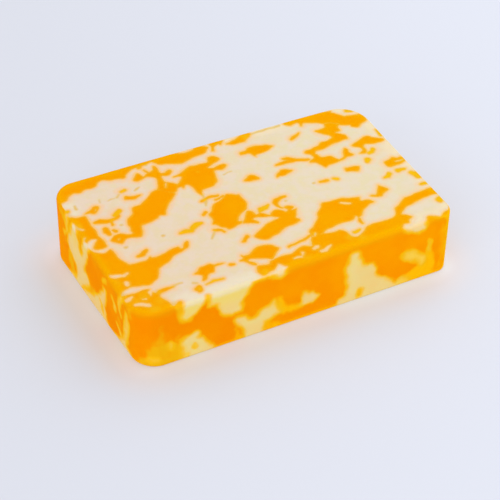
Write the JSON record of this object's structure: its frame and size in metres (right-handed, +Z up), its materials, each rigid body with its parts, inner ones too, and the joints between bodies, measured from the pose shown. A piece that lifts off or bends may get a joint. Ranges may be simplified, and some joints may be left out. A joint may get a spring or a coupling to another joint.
{
  "type": "marbled cheddar cheese slab",
  "caption": "Rectangular slab of orange and cream marbled cheddar with rounded corners and edges, lying on its broad face.",
  "frame": {"origin": "middle of the slab's box, on the ground under it", "axes": "+X along the long side, +Y towards the back long face, +Z up; the front long face looks along -Y"},
  "size_m": [0.1434, 0.0842, 0.0315],
  "materials": {
    "marbled_cheese": "smooth, faintly moist cheese: cream marbled with orange curds, soft satin sheen"
  },
  "bodies": {
    "root": {"cheese_slab": "marbled_cheese"}
  },
  "joints": []
}
